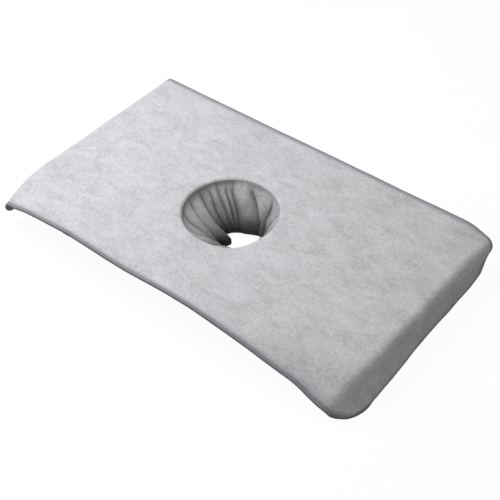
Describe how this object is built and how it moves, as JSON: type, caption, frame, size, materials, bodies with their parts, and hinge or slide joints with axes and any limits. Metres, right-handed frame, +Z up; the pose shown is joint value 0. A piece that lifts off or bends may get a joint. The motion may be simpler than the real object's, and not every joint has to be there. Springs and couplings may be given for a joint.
{
  "type": "face-hole massage pillow",
  "caption": "Low foam massage pillow with a round face hole, under a plush bound-edge cover that hangs down at both ends and lines the hole with a gathered sleeve.",
  "frame": {"origin": "on the floor under the middle of the object's whole length and width", "axes": "+Z up; +X along the length, to the end where the cover hangs lowest; +Y across the width, to the long side away from the binding's join"},
  "size_m": [0.6856, 0.4004, 0.0687],
  "materials": {
    "plush": "matte",
    "binding": "matte",
    "sleeve_knit": "matte",
    "case_cotton": "matte",
    "case_base_cloth": "matte",
    "case_piping": "matte",
    "soft_foam": "matte",
    "firm_foam": "matte",
    "elastic_web": "matte",
    "zip_tape_cloth": "matte",
    "zip_coil_nylon": "satin",
    "zip_metal": "satin"
  },
  "bodies": {
    "pad": {"support_foam": "firm_foam", "comfort_foam": "soft_foam", "case_top_panel": "case_cotton", "case_side_band": "case_cotton", "case_base_panel": "case_base_cloth", "bore_lining": "case_cotton", "case_upper_piping": "case_piping", "case_lower_piping": "case_piping", "zip_tape_upper": "zip_tape_cloth", "zip_tape_lower": "zip_tape_cloth", "zip_coil_upper": "zip_coil_nylon", "zip_coil_lower": "zip_coil_nylon", "zip_stop_closed": "zip_metal", "zip_stop_open": "zip_metal"},
    "cover": {"cover_panel": "plush", "edge_binding": "binding", "binding_join": "binding", "face_sleeve": "sleeve_knit", "rim_seam_tape": "binding", "sleeve_hem": "sleeve_knit", "hem_elastic": "elastic_web"},
    "zip_slider": {"zip_slider": "zip_metal", "zip_pull_pin": "zip_metal"},
    "zip_pull": {"zip_pull_tab": "zip_metal"}
  },
  "joints": [
    {"name": "cover_lift", "type": "slide", "parent": "pad", "child": "cover", "axis": [0, 0, 1], "range_m": [0, 0.12]},
    {"name": "zip_travel", "type": "slide", "parent": "pad", "child": "zip_slider", "axis": [0, 1, 0], "range_m": [0, 0.191]},
    {"name": "pull_swing", "type": "hinge", "parent": "zip_slider", "child": "zip_pull", "pos_m": [-0.34099, -0.09543, 0.0268], "axis": [0, 0, 1], "range_deg": [0, 170]}
  ]
}
